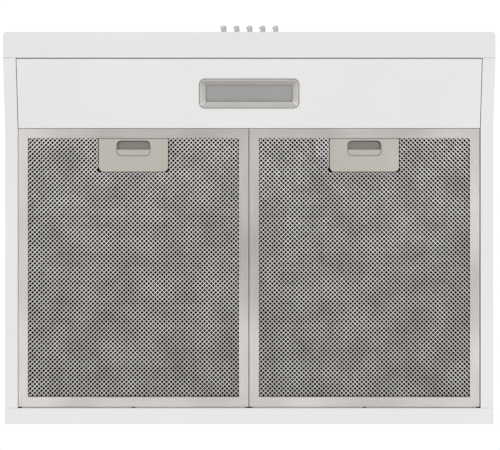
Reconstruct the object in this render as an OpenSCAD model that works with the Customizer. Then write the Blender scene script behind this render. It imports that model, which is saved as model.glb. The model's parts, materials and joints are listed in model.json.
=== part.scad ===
// Under cabinet range hood, 60 cm class, with two lift-out grease filters,
// one lamp, five push buttons and a top duct outlet with a check damper.
// x runs to the right, y from the front to the wall, z up.
// The origin is the centre of the flat top face that meets the cabinet.

/* [Body] */
// Width over the side panels
body_w = 600; // [590:2:640]
// Depth from the front fascia to the wall
body_d = 480; // [478:1:500]
// Height from the front lip to the top face
body_h = 130; // [130:1:136]
// Height of the front fascia
fascia_h = 52; // [48:1:60]
// Depth of the flat top that meets the cabinet
top_d = 290; // [288:1:296]
// Depth of the lip under the front fascia
lip_d = 31.5; // [30:0.5:33]
// Depth of the sloped panel that holds the lamp
light_panel_d = 83.7; // [80:0.1:90]
// Rise of the filter plane above the front lip
rim_rise = 18; // [16:0.5:20]
// Width of each side rail
side_rail_w = 15.5; // [14:0.5:17]
// Depth of the rear rail
rear_rail_d = 19.7; // [18:0.1:22]
// Sheet metal thickness
sheet = 1; // [0.8:0.1:1]

/* [Filters] */
// Thickness of a grease filter
filter_h = 9; // [9:0.5:10]
// Width of a filter's aluminium border
border_w = 12; // [11:0.5:13]
// Width of the latch plate
latch_w = 85; // [80:1:90]
// Length of the latch plate that shows beside the border
latch_l = 41; // [40:1:44]
// Travel of a latch bolt
latch_travel = 3.5; // [3:0.5:4]

/* [Controls and lamp] */
// Radius of a push button
button_r = 3.9; // [3.5:0.1:4.2]
// Distance between neighbouring buttons
button_pitch = 16; // [15:0.5:18]
// Length of a button in front of the fascia
button_out = 10.5; // [9:0.5:12]
// Travel of a button
button_travel = 4; // [3:0.5:4]
// Width of the lamp bezel
bezel_w = 122.5; // [120:0.5:126]
// Depth of the lamp bezel along the slope
bezel_d = 36.5; // [36:0.5:39]
// Width of the lamp lens that shows
lens_w = 106; // [100:1:108]
// Depth of the lamp lens that shows
lens_d = 20; // [19:0.5:21]

/* [Air path] */
// Outer radius of the duct collar
duct_r = 60; // [58:0.5:60]
// Height of the duct collar above the top face
duct_h = 45; // [40:1:60]
// Distance of the duct's centre behind the middle of the top face
duct_y = 55; // [53:1:55]
// Outer radius of the impeller
wheel_r = 80; // [76:1:80]
// Number of impeller blades
blades = 32; // [24:1:40]
// Inner radius of the scroll where it starts
scroll_r0 = 87; // [86:0.5:88]
// Inner radius of the scroll at its outlet
scroll_r1 = 121; // [118:1:121]

/* [Hidden] */
$fn = 64;
slit = 0.05; // clearance between parts that lie face to face
fit = 0.05; // radial clearance of a shaft in its bearing

// Planes of the body
lip_z = -body_h;
rim_z = lip_z + rim_rise;
fascia_top = lip_z + fascia_h;
half_w = body_w / 2;
back_y = top_d / 2;
front_y = back_y - body_d;
lip_y = front_y + lip_d;
panel_gap = 1;
corner_r = 4; // outer radius of the fascia's front corners
corner_d = front_y + 6; // the fascia's returned ends reach back to here
panel_y0 = lip_y + panel_gap;
panel_y1 = panel_y0 + light_panel_d;
rail_y = back_y - rear_rail_d;
catch_h = 5; // height of the flange that a latch bolt rests on
slope = atan2(rim_rise, light_panel_d);

// Sections of the folded sheets, as (y, z) points on their outer faces
canopy_y0 = front_y + sheet + slit;
canopy_path = [
    [canopy_y0, fascia_top - 13],
    [canopy_y0, fascia_top - 0.2],
    [-top_d / 2, 0],
    [back_y, 0]
];
fascia_path = [
    [front_y, fascia_top],
    [front_y, lip_z],
    [lip_y, lip_z],
    [lip_y, lip_z + 10]
];
light_path = [
    [panel_y0, lip_z + 10],
    [panel_y0, lip_z],
    [panel_y1, rim_z],
    [panel_y1, rim_z + catch_h]
];
rail_path = [
    [lip_y + 0.3, lip_z],
    [panel_y1, rim_z],
    [rail_y - 0.2, rim_z]
];
back_path = [
    [back_y, -sheet - slit],
    [back_y, rim_z],
    [rail_y, rim_z]
];

// Mounting holes
cabinet_screw_x = 235;
cabinet_screw_y = 110;
wall_screw_x = 200;
wall_screw_z = -30;
mount_hole_r = 3;

// Filters
filter_z = rim_z + 1.2;
filter_y0 = panel_y1 + 0.4;
filter_y1 = rail_y - 1.6; // room for the rear edge when the filter tilts
filter_l = filter_y1 - filter_y0;
filter_gap = 0.8;
filter_w = half_w - side_rail_w - 0.75 - filter_gap / 2;
filter_x = filter_gap / 2 + filter_w / 2;
filter_play = 0.3; // both filters lie this much nearer to the left rail
foil = 0.8; // thickness of the border's channel
hinge_y = filter_y1 + 0.4;
hinge_z = filter_z + 1.2;
hook_r = 1.3;
hook_x = 69.5;
hook_w = 136;
catch_z = rim_z + catch_h - filter_z; // flange top above the filter's underside
bolt_z = catch_z + 0.5;
bolt_t = 2;
bolt_w = 26;
bolt_reach = 3; // how far a bolt that is out stands in front of the filter
bolt_y0 = latch_travel - bolt_reach; // a bolt's front, drawn back
pull_w = 42;
pull_d = 19;
pull_r = 6.2;
pull_y = border_w + 2.7;
plate_r = 5.5; // round corners of the latch plate

// Buttons
button_count = 5;
button_z = lip_z + fascia_h / 2;
stem_r = 2;
switch_y = front_y + 15;
switch_d = 20;
stem_end = switch_y + 13.5;

// Air path
top_plate_z = -3.1; // upper face of the scroll's top plate
scroll_seam_z = -46;
scroll_floor_z = -88;
scroll_t = 1.5;
wheel_x = -163;
wheel_top_z = -12;
wheel_bottom_z = -80;
tongue_a = 50;
spiral_turn = 270 + tongue_a;
chamber_x = 66;
chamber_y0 = duct_y - 67;
rear_y = scroll_r1;
damper_z = 9;
seat_z = 6.2;
rod_r = 1.5;

// ---------- helpers ----------

function unit(v) = v / norm(v);
function normal(a, b) = let (d = unit(b - a)) [-d[1], d[0]];

// Point i of an open path moved sideways by t, with a mitre at each fold
function moved(path, i, t) =
    i == 0 ? path[0] + t * normal(path[0], path[1])
    : i == len(path) - 1 ? path[i] + t * normal(path[i - 1], path[i])
    : let (
        before = normal(path[i - 1], path[i]),
        after = normal(path[i], path[i + 1]),
        middle = unit(before + after)
    ) path[i] + middle * t / (middle * before);

// Outline of a folded sheet: the path and the same path moved by its thickness
module fold(path, t) {
    last = len(path) - 1;
    polygon(concat(path, [for (i = [last:-1:0]) moved(path, i, t)]));
}

// Extrudes a (y, z) outline from x0 to x1
module along_x(x0, x1) {
    translate([x0, 0, 0]) rotate([90, 0, 90]) linear_extrude(x1 - x0) children();
}

module box(x0, x1, y0, y1, z0, z1) {
    translate([x0, y0, z0]) cube([x1 - x0, y1 - y0, z1 - z0]);
}

module disc(r, z0, z1) {
    translate([0, 0, z0]) cylinder(r = r, h = z1 - z0);
}

module ring(r_out, r_in, z0, z1) {
    translate([0, 0, z0]) difference() {
        cylinder(r = r_out, h = z1 - z0);
        translate([0, 0, -1]) cylinder(r = r_in, h = z1 - z0 + 2);
    }
}

// A cylinder along y, from y0 to y1
module rod_y(r, y0, y1) {
    translate([0, y0, 0]) rotate([-90, 0, 0]) cylinder(r = r, h = y1 - y0);
}

// A rectangle with round corners, centred
module round_rect(w, d, r) {
    square([w - 2 * r, d], center = true);
    square([w, d - 2 * r], center = true);
    for (x = [-1, 1], y = [-1, 1]) translate([x * (w / 2 - r), y * (d / 2 - r)]) circle(r);
}

// Pan head screw that points up, with its head's top face at the origin
module screw(head_r, shank_r, shank_l) {
    disc(head_r, -2, 0);
    disc(shank_r, 0, shank_l);
}

// A tube through points, one ring of sides at each point
module tube(points, r, sides = 8) {
    last = len(points) - 1;
    function along(i) = unit(points[min(i + 1, last)] - points[max(i - 1, 0)]);
    function across(d) = abs(d[2]) > 0.9 ? unit(cross(d, [1, 0, 0])) : unit(cross(d, [0, 0, 1]));
    rings = [
        for (i = [0:last]) let (d = along(i), u = across(d), v = cross(d, u))
            for (k = [0:sides - 1]) let (a = 360 * k / sides) points[i] + r * (cos(a) * u + sin(a) * v)
    ];
    sides_faces = [
        for (i = [0:last - 1], k = [0:sides - 1]) let (n = (k + 1) % sides)
            [i * sides + k, i * sides + n, (i + 1) * sides + n, (i + 1) * sides + k]
    ];
    start = [for (k = [sides - 1:-1:0]) k];
    end = [for (k = [0:sides - 1]) last * sides + k];
    polyhedron(rings, concat([start], sides_faces, [end]), convexity = 6);
}

// A route with each inner corner replaced by a short curve of steps + 1 points
function curved(p, reach, steps = 3) = concat(
    [p[0]],
    [for (i = [1:len(p) - 2]) let (
        a = p[i] + reach * unit(p[i - 1] - p[i]),
        b = p[i] + reach * unit(p[i + 1] - p[i])
    ) for (s = [0:steps]) let (t = s / steps)
        (1 - t) * (1 - t) * a + 2 * t * (1 - t) * p[i] + t * t * b],
    [p[len(p) - 1]]
);

// ---------- body ----------

module canopy() {
    color("white") difference() {
        along_x(-half_w, half_w) fold(canopy_path, -sheet);
        translate([0, duct_y, -2]) cylinder(r = duct_r + 1, h = 4);
        for (x = [-1, 1], y = [-1, 1])
            translate([x * cabinet_screw_x, y * cabinet_screw_y, -2]) cylinder(r = mount_hole_r, h = 4);
        translate([grommet_x, grommet_y, -2]) cylinder(r = grommet_r, h = 4);
        for (p = collar_screw_spots()) translate([p[0], p[1], -2]) cylinder(r = 1.6, h = 4);
        for (p = scroll_ears) translate([p[0], p[1], -2]) cylinder(r = 2.1, h = 4);
        for (side = [-1, 1]) translate([side * half_w, front_y, fascia_top - 15 + 2 * slit])
            cube([2 * corner_r + 1, 2 * (corner_d - front_y + slit), 30], center = true);
    }
}

module side_panel(side) {
    under = [for (i = [1, 2]) moved(canopy_path, i, -sheet - slit)];
    start_y = lip_y + 0.3;
    outline = [
        [under[0][0], lip_z + sheet + slit],
        under[0],
        under[1],
        [back_y, -sheet - slit],
        [back_y, rim_z],
        [panel_y1, rim_z],
        [start_y, lip_z],
        [start_y, lip_z + sheet + slit]
    ];
    upturn = 7;
    lip = concat(rail_path, [for (i = [2:-1:0]) rail_path[i] + [0, upturn]]);
    mirror([side < 0 ? 1 : 0, 0, 0]) color("white") union() {
        difference() {
            along_x(half_w - sheet, half_w) polygon(outline);
            box(half_w - 5, half_w + 1, front_y, corner_d + slit, lip_z - 1, fascia_top + slit);
        }
        along_x(half_w - side_rail_w, half_w) fold(rail_path, sheet);
        along_x(half_w - side_rail_w, half_w - side_rail_w + sheet) polygon(lip);
    }
}

module back_panel() {
    color("white") difference() {
        along_x(-half_w + sheet + slit, half_w - sheet - slit) fold(back_path, -sheet);
        for (x = [-1, 1]) translate([x * wall_screw_x, 0, wall_screw_z])
            rod_y(mount_hole_r, back_y - 5, back_y + 1);
    }
}

module front_fascia() {
    color("white") difference() {
        intersection() {
            union() {
                along_x(-half_w, half_w) fold(fascia_path, sheet);
                translate([0, front_y + 50, lip_z]) linear_extrude(fascia_h) difference() {
                    round_rect(body_w, 100, corner_r);
                    round_rect(body_w - 2 * sheet, 100 - 2 * sheet, corner_r - sheet);
                    translate([0, corner_d - front_y]) square([body_w + 2, 100], center = true);
                }
            }
            translate([0, front_y + 50, lip_z - 1]) linear_extrude(fascia_h + 2)
                round_rect(body_w, 100, corner_r);
        }
        for (i = [0:button_count - 1]) translate([button_x(i), 0, button_z])
            rod_y(button_r + 0.4, front_y - 1, front_y + 4);
        for (side = [-1, 1]) translate([side * half_w, lip_y, lip_z + sheet + 10])
            cube([2 * (sheet + slit), 4, 20], center = true);
    }
}

module light_panel() {
    reach = half_w - side_rail_w - 0.75;
    color("white") difference() {
        along_x(-reach, reach) fold(light_path, sheet);
        on_slope() translate([0, 0, -3]) linear_extrude(8) square([bezel_w - 8, bezel_d - 8], center = true);
    }
}

// Puts its children on the sloped panel: z 0 is its underside, z positive is inside the hood
module on_slope() {
    translate([0, (panel_y0 + panel_y1) / 2, (lip_z + rim_z) / 2]) rotate([slope, 0, 0]) children();
}

// Channel above the joint between the filters, which stops them at the top
module filter_divider() {
    z = filter_z + filter_h + 0.6;
    foot_y = panel_y1 - sheet - slit;
    color("gainsboro") union() {
        translate([0, back_y - sheet - slit, 0]) rotate([90, 0, 0])
            linear_extrude(back_y - sheet - slit - foot_y + sheet)
            fold([[-9, z + 7], [-9, z], [9, z], [9, z + 7]], sheet);
        box(-9, 9, foot_y - sheet, foot_y, rim_z + 1.5, z + 7);
        box(-9, 9, back_y - 2 * sheet - slit, back_y - sheet - slit, z, z + 16);
    }
}

// ---------- duct outlet ----------

collar_t = 1.5;
flange_r = duct_r + 12;

function collar_screw_spots() = [for (a = [45:90:315]) [(duct_r + 7) * cos(a), duct_y + (duct_r + 7) * sin(a)]];

module at_duct() {
    translate([0, duct_y, 0]) children();
}

module duct_collar() {
    color("gray") difference() {
        at_duct() union() {
            ring(duct_r, duct_r - collar_t, top_plate_z + slit, duct_h);
            ring(flange_r, duct_r - collar_t, top_plate_z + slit, -sheet - slit);
            ring(duct_r + 0.6, duct_r - collar_t, top_plate_z + slit, 0);
            ring(duct_r - 0.5, duct_r - 5, seat_z - 2, seat_z - 0.1);
        }
        at_duct() translate([-duct_r - 1, 0, damper_z]) rotate([0, 90, 0])
            cylinder(r = rod_r + fit, h = 2 * duct_r + 2);
        for (p = collar_screw_spots()) translate([p[0], p[1], -5]) cylinder(r = 1.6, h = 6);
    }
}

// Short screws through the canopy, heads under the collar's flange
module collar_screws() {
    color("silver") for (p = collar_screw_spots())
        translate([p[0], p[1], top_plate_z + slit]) difference() {
            translate([0, 0, 0.2]) disc(1.5, 0, -top_plate_z - slit - 0.5);
            translate([0, 0, 2.2]) cylinder(r = 0.7, h = 2);
        }
}

module damper_rod() {
    color("silver") at_duct() translate([-duct_r, 0, damper_z]) rotate([0, 90, 0])
        cylinder(r = rod_r, h = 2 * duct_r);
}

// Half round flap: its knuckles turn on the rod, and its plate is notched round the other flap's
module damper_flap(turn, own, other) {
    knuckle_r = 2.7;
    plate_z = damper_z - knuckle_r;
    plate_t = 1;
    color("dimgray") at_duct() rotate([0, 0, turn]) difference() {
        union() {
            intersection() {
                disc(duct_r - collar_t - 0.7, plate_z, plate_z + plate_t);
                box(-duct_r, duct_r, 0.4, duct_r, plate_z - 1, plate_z + plate_t + 1);
            }
            for (k = own) translate([k[0], 0, damper_z]) rotate([0, 90, 0])
                cylinder(r = knuckle_r, h = k[1] - k[0]);
        }
        for (k = other) box(k[0] - 0.5, k[1] + 0.5, -4, knuckle_r + 0.6, plate_z - 1, damper_z + 4);
        translate([-duct_r, 0, damper_z]) rotate([0, 90, 0])
            cylinder(r = rod_r + fit, h = 2 * duct_r);
    }
}

outer_knuckles = [[-48, -28], [28, 48]];
inner_knuckles = [[-20, 20]];

// ---------- blower ----------

// Radius of the spiral wall's inside after a share of its turn from the tongue
function spiral_r(share) = scroll_r0 + (scroll_r1 - scroll_r0) * share;

// Outline of the blower housing's inside, grown by g: a spiral, its throat and the chamber under the duct
module scroll_outline(g) {
    steps = 80;
    tongue = asin((tongue_y - g) / (scroll_r0 + g));
    spiral = [
        for (i = [0:steps]) let (
            share = i / steps,
            a = min(tongue_a - spiral_turn * share, tongue),
            r = spiral_r(share) + g
        ) [wheel_x + r * cos(a), r * sin(a)]
    ];
    polygon(concat(spiral, [
        [chamber_x + g, rear_y + g],
        [chamber_x + g, chamber_y0 - g],
        [-chamber_x - g, chamber_y0 - g],
        [-chamber_x - g, tongue_y - g]
    ]));
}

tongue_y = scroll_r0 * sin(tongue_a);
ear_w = 16;
ear_reach = scroll_t + ear_w / 2 - 0.5; // from the housing's inside to an ear's middle

// Ear beside the spiral at angle a, as x, y and turn
function spiral_ear(a) = let (r = spiral_r((tongue_a - a) / spiral_turn) + ear_reach)
    [wheel_x + r * cos(a), r * sin(a), a];

scroll_ears = [
    spiral_ear(-225), spiral_ear(-135), spiral_ear(-50),
    [-40, chamber_y0 - ear_reach, 0],
    [chamber_x + ear_reach, 16, 0],
    [chamber_x + ear_reach, 110, 0]
];

module ear(p) {
    translate([p[0], p[1], -6]) rotate(p[2]) linear_extrude(6 - sheet - slit) round_rect(ear_w, ear_w, 4);
}

module scroll_upper() {
    color("lightgray") difference() {
        union() {
            difference() {
                translate([0, 0, scroll_seam_z]) linear_extrude(top_plate_z - scroll_seam_z)
                    scroll_outline(scroll_t);
                translate([0, 0, scroll_seam_z - 1])
                    linear_extrude(top_plate_z - scroll_t - scroll_seam_z + 1) scroll_outline(0);
                at_duct() translate([0, 0, -8]) cylinder(r = duct_r - collar_t, h = 8);
            }
            for (p = scroll_ears) ear(p);
        }
        for (p = scroll_ears) translate([p[0], p[1], -7]) cylinder(r = 2.1, h = 7);
        at_wheel() for (a = mount_angles) rotate(a) translate([mount_r, 0, -8]) cylinder(r = 2.1, h = 8);
        translate([lead_x, rear_y, lead_z]) rod_y(2.6, -2, 4);
    }
}

module scroll_lower() {
    color("lightgray") union() {
        difference() {
            translate([0, 0, scroll_floor_z]) linear_extrude(scroll_seam_z - slit - scroll_floor_z)
                scroll_outline(scroll_t);
            translate([0, 0, scroll_floor_z + scroll_t])
                linear_extrude(scroll_seam_z - scroll_floor_z) scroll_outline(0);
            at_wheel() translate([0, 0, scroll_floor_z - 1]) cylinder(r = eye_r, h = 4);
        }
        at_wheel() ring(eye_r + scroll_t, eye_r, scroll_floor_z, scroll_floor_z + 9);
    }
}

eye_r = 60;

// Screws through the ears into the canopy
module scroll_screws() {
    color("silver") for (p = scroll_ears) translate([p[0], p[1], -6 - slit]) screw(3.8, 2, 5.8);
}

// Spring clips that bridge the seam of the housing
module scroll_clips() {
    wall = chamber_x + scroll_t + slit;
    color("silver") {
        for (y = [chamber_y0 + 20, 90]) box(wall, wall + 1, y, y + 14, scroll_seam_z - 8, scroll_seam_z + 8);
        for (x = [-30, 20]) box(x, x + 14, chamber_y0 - scroll_t - slit - 1, chamber_y0 - scroll_t - slit,
            scroll_seam_z - 8, scroll_seam_z + 8);
        for (x = [-120, 30]) box(x, x + 14, rear_y + scroll_t + slit, rear_y + scroll_t + slit + 1,
            scroll_seam_z - 8, scroll_seam_z + 8);
    }
}

// Finger guard under the inlet
module inlet_guard() {
    z = scroll_floor_z - slit;
    color("silver") at_wheel() union() {
        for (r = [14:12:62]) ring(r + 1, r - 1, z - 2.5, z - 0.7);
        for (a = [0, 45, 90, 135]) rotate(a) translate([-64, -1.2, z - 2.5]) cube([128, 2.4, 1.8]);
        for (a = [22.5:90:337.5]) rotate(a) translate([62, 0, 0]) disc(1, z - 2, z);
    }
}

module at_wheel() {
    translate([wheel_x, 0, 0]) children();
}

shaft_r = 3;
cup_r = 46;
cup_z = -56;

// Squirrel cage wheel with a cup that takes the motor
module impeller() {
    disc_t = 1.5;
    blade_in = wheel_r - 14;
    blade_t = 0.8;
    color("whitesmoke") at_wheel() difference() {
        union() {
            ring(wheel_r, cup_r, wheel_top_z - disc_t, wheel_top_z);
            ring(cup_r + disc_t, cup_r, cup_z - disc_t, wheel_top_z);
            disc(cup_r + disc_t, cup_z - disc_t, cup_z);
            disc(9, cup_z - 10, cup_z);
            ring(wheel_r, blade_in, wheel_bottom_z, wheel_bottom_z + 2);
            for (i = [0:blades - 1]) rotate(360 * i / blades) translate([blade_in + 0.3, 0, wheel_bottom_z])
                rotate(-28) translate([0, -blade_t / 2, 0])
                cube([14.6, blade_t, wheel_top_z - disc_t / 2 - wheel_bottom_z]);
        }
        disc(shaft_r + 0.02, cup_z - 20, cup_z + 10);
    }
}

module impeller_nut() {
    color("silver") at_wheel() difference() {
        translate([0, 0, cup_z - 14.5]) cylinder(r = 6, h = 4.4, $fn = 6);
        disc(shaft_r + 0.02, cup_z - 20, cup_z);
    }
}

motor_r = 42;
motor_top_z = -6;
motor_low_z = -50;
stator_z0 = -36;
stator_z1 = -20;
case_t = 2;
mount_angles = [30, 150, 270];
mount_r = 45.5;

module motor_shaft() {
    color("silver") at_wheel() disc(shaft_r, cup_z - 16, motor_top_z - 2.2);
}

module motor_rotor() {
    color("darkgray") at_wheel() ring(23, shaft_r + 0.02, stator_z0 + 1, stator_z1 - 1);
}

module motor_case_upper() {
    color("silver") at_wheel() difference() {
        union() {
            disc(motor_r, stator_z1 + slit, motor_top_z);
            for (a = mount_angles) rotate(a) translate([mount_r, 0, 0]) disc(5, -8, motor_top_z);
            for (a = mount_angles) rotate(a) box(38, mount_r, -5, 5, -8, motor_top_z);
        }
        disc(motor_r - case_t, stator_z1 - 1, motor_top_z - case_t);
        for (a = mount_angles) rotate(a) translate([mount_r, 0, 0]) disc(2.1, -9, 0);
    }
}

module motor_case_lower() {
    color("silver") at_wheel() difference() {
        disc(motor_r, motor_low_z, stator_z0 - slit);
        disc(motor_r - case_t, motor_low_z + case_t, stator_z0 + 1);
        disc(8.2, motor_low_z - 1, motor_low_z + 3);
    }
}

module motor_stator() {
    color("gray") at_wheel() ring(motor_r, 23.5, stator_z0, stator_z1);
}

module motor_windings() {
    color("peru") at_wheel() {
        ring(37, 26, stator_z1 + 0.1, stator_z1 + 8);
        ring(37, 26, stator_z0 - 8, stator_z0 - 0.1);
    }
}

module motor_bearings() {
    color("goldenrod") at_wheel() {
        ring(8, shaft_r + fit, motor_top_z - case_t - 6, motor_top_z - case_t - slit);
        ring(8, shaft_r + fit, motor_low_z, motor_low_z + 6);
    }
}

// Rubber washers between the motor and the housing
module motor_mounts() {
    z = top_plate_z - scroll_t - slit;
    color("black") at_wheel() for (a = mount_angles) rotate(a) translate([mount_r, 0, 0])
        ring(4.5, 2.1, motor_top_z + slit, z);
}

module motor_screws() {
    color("silver") at_wheel() for (a = mount_angles) rotate(a) translate([mount_r, 0, -8 - slit])
        screw(3.5, 2, 4.7);
}

// ---------- wiring ----------

grommet_x = 205;
grommet_y = 84;
grommet_r = 11;
wiring_x0 = 150;
wiring_x1 = 260;
wiring_y0 = 42;
wiring_y1 = 126;
wiring_z = -44;

module wiring_box() {
    color("gainsboro") difference() {
        box(wiring_x0, wiring_x1, wiring_y0, wiring_y1, wiring_z, -sheet - slit);
        box(wiring_x0 + 1, wiring_x1 - 1, wiring_y0 + 1, wiring_y1 - 1, wiring_z - 1, -sheet - slit - 1);
        translate([grommet_x, grommet_y, -3]) cylinder(r = grommet_r, h = 4);
        translate([wiring_x0, 116, -22]) rotate([0, -90, 0]) cylinder(r = 2.4, h = 4, center = true);
        for (x = [170, 182]) translate([x, wiring_y0, -22]) rod_y(2.2, -2, 2);
    }
}

module wiring_box_cover() {
    color("gainsboro") union() {
        box(wiring_x0 - 1.2, wiring_x1 + 1.2, wiring_y0 - 1.2, wiring_y1 + 1.2, wiring_z - slit - 1, wiring_z - slit);
        for (x = [wiring_x0 - 1.2, wiring_x1 + 0.2])
            box(x, x + 1, wiring_y0, wiring_y1, wiring_z - slit - 1, wiring_z + 6);
    }
}

module terminal_block() {
    color("ivory") difference() {
        box(215, 250, 50, 66, -18, -sheet - slit - 1 - slit);
        for (x = [221, 232.5, 244]) translate([x, 58, -19]) cylinder(r = 2.5, h = 7);
    }
}

module capacitor() {
    color("lightgray") translate([wiring_x1 - 1 - slit - 13, 72, -26]) rod_y(13, 0, 48);
}

// Rubber grommet for the supply cable, seated in the canopy's hole
module cable_grommet() {
    color("black") translate([grommet_x, grommet_y, 0]) union() {
        ring(grommet_r - slit, 5, -sheet - slit - 3.5, 1.5);
        ring(grommet_r + 3, 5, -sheet - slit - 3.5, -sheet - 2 * slit - 1);
    }
}

lead_x = -80;
lead_z = -7;
lamp_lead_x = 54;

function slope_point(p) = [
    p[0],
    (panel_y0 + panel_y1) / 2 + p[1] * cos(slope) - p[2] * sin(slope),
    (lip_z + rim_z) / 2 + p[1] * sin(slope) + p[2] * cos(slope)
];

motor_lead_route = [
    [154, 116, -22], [120, 116, -22], [110, 132, -16], [-60, 134, -12], [lead_x, 132, lead_z],
    [lead_x, 92, lead_z], [-122, 76, lead_z], [-129, 28, lead_z]
];
switch_lead_route = [
    [182, 46, -22], [182, 20, -22], [160, -40, -14], [120, -130, -12], [60, -200, -44],
    [34, -260, -76], [30, -285, -104], [30, -300.6, button_z]
];
lamp_lead_route = [
    [170, 46, -22], [170, 24, -22], [140, -30, -22], [100, -120, -22], [72, -200, -60],
    [60, -240, -90], slope_point([lamp_lead_x, 0, 26]), slope_point([lamp_lead_x, 0, 14])
];

module lead(route, r, shade) {
    color(shade) tube(curved(route, 5), r);
}

// ---------- lamp ----------

module lamp_bezel() {
    proud = 1.2;
    color("silver") on_slope() difference() {
        union() {
            translate([0, 0, -proud]) linear_extrude(proud - slit) round_rect(bezel_w, bezel_d, 7);
            translate([0, 0, -slit - 0.1]) linear_extrude(3.6) round_rect(bezel_w - 8.6, bezel_d - 8.6, 4);
        }
        hull() {
            translate([0, 0, -proud - 0.1]) linear_extrude(0.1)
                square([bezel_w - 6, bezel_d - 6], center = true);
            translate([0, 0, 1.6]) linear_extrude(0.1) square([lens_w, lens_d], center = true);
        }
        translate([0, 0, -2]) linear_extrude(8) square([lens_w, lens_d], center = true);
    }
}

module lamp_lens() {
    color("lightgray") on_slope() translate([0, 0, 3.5]) linear_extrude(2)
        square([lens_w + 6, lens_d + 6], center = true);
}

module lamp_tray() {
    w = bezel_w - 4;
    d = bezel_d - 1;
    color("white") on_slope() difference() {
        translate([0, 0, sheet + slit]) linear_extrude(14) round_rect(w, d, 5);
        linear_extrude(13.85) round_rect(w - 3, d - 3, 4);
        translate([lamp_lead_x, 0, 12]) cylinder(r = 2, h = 5);
    }
}

module led_board() {
    color("seagreen") on_slope() translate([0, 0, 12.6]) linear_extrude(1.2)
        square([100, 16], center = true);
}

module led_chips() {
    color("lemonchiffon") on_slope() for (i = [0:8]) translate([-44 + 11 * i, 0, 11.55])
        linear_extrude(1) square([3.5, 2.8], center = true);
}

// ---------- controls ----------

function button_x(i) = (i - (button_count - 1) / 2) * button_pitch;

module switch_body() {
    color("black") difference() {
        box(-46, 46, switch_y, switch_y + switch_d, button_z - 9, button_z + 9);
        for (i = [0:button_count - 1]) translate([button_x(i), 0, button_z])
            rod_y(stem_r + 0.08, switch_y - 1, stem_end + button_travel + 1);
        translate([30, 0, button_z]) rod_y(1.8, switch_y + switch_d - 1, switch_y + switch_d + 1);
    }
}

module switch_bracket() {
    w = 46 + slit;
    y = front_y + sheet + slit;
    deep = switch_y + switch_d + slit;
    color("silver") difference() {
        translate([0, 0, button_z - 7]) linear_extrude(14)
            fold([[62, y], [w, y], [w, deep], [-w, deep], [-w, y], [-62, y]], -sheet);
        translate([30, 0, button_z]) rod_y(4, deep - 2, deep + 3);
    }
}

// Cap, retaining collar and stem of one push button
module button(i) {
    color("silver") translate([button_x(i), 0, button_z]) union() {
        rod_y(button_r, front_y - button_out, front_y + sheet + 0.6);
        rod_y(5.4, front_y + sheet + 0.5, front_y + sheet + 2);
        rod_y(stem_r, front_y + sheet + 1.9, stem_end);
    }
}

// ---------- filters ----------

// Puts its children in a filter's own frame: x 0 is its middle, y 0 its front edge, z 0 its underside
module at_filter(side) {
    translate([side * filter_x - filter_play, filter_y0, filter_z]) children();
}

module filter_frame(side) {
    w = filter_w / 2;
    color("silver") at_filter(side) difference() {
        box(-w, w, 0, filter_l, 0, filter_h);
        box(-w + border_w, w - border_w, border_w, filter_l - border_w, -1, filter_h + 1);
        box(-w + foil, w - foil, foil, filter_l - foil, foil, filter_h - foil);
        box(-bolt_w / 2 - 0.5, bolt_w / 2 + 0.5, -1, 2, bolt_z - 0.4, bolt_z + bolt_t + 0.4);
    }
}

module filter_mesh(side) {
    w = filter_w / 2 - foil - 0.1;
    end = border_w + latch_l + 0.3;
    color("darkgray") at_filter(side) difference() {
        box(-w, w, foil + 0.1, filter_l - foil - 0.1, foil + slit, filter_h - foil - slit);
        box(-latch_w / 2 - 0.3, latch_w / 2 + 0.3, -1, end, -1, filter_h + 1);
    }
}

// Tongues that lie on the rear rail, rolled to a bead on the hinge line
module filter_hooks(side) {
    color("silver") at_filter(side) for (x = [-hook_x, hook_x])
        translate([x - hook_w / 2, filter_l, hinge_z - filter_z]) difference() {
            union() {
                translate([0, hinge_y - filter_y1, 0]) rotate([0, 90, 0]) cylinder(r = hook_r, h = hook_w);
                box(0, hook_w, slit, 7, -0.8, 0.8);
            }
            box(-1, hook_w + 1, -2, slit, -2, 2);
        }
}

// Plate with a finger opening, and the tray behind it that guides the slider
module latch_housing(side) {
    w = latch_w / 2;
    end = border_w + latch_l;
    plate_z = foil + slit;
    plate_t = 1.5;
    top = filter_h - foil - slit;
    wall = 1.2;
    color("silver") at_filter(side) difference() {
        translate([0, end / 2 + 0.5, plate_z]) linear_extrude(top - plate_z)
            latch_outline(2 * w, end - 1, plate_r);
        translate([0, end / 2 + 0.5, plate_z + plate_t]) linear_extrude(filter_h)
            latch_outline(2 * w - 2 * wall, end - 1 - 2 * wall, plate_r - wall);
        translate([0, pull_y + pull_d / 2, 0]) linear_extrude(4) round_rect(pull_w, pull_d, pull_r);
        box(-bolt_w / 2 - 0.5, bolt_w / 2 + 0.5, 0, 4, bolt_z - 0.4, bolt_z + bolt_t + 0.4);
    }
}

// Rectangle whose two corners at the y+ end are round
module latch_outline(w, d, r) {
    translate([0, -r / 2]) square([w, d - r], center = true);
    square([w - 2 * r, d], center = true);
    for (x = [-1, 1]) translate([x * (w / 2 - r), d / 2 - r]) circle(r);
}

slider_y0 = 9;
slider_y1 = 46;

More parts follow.
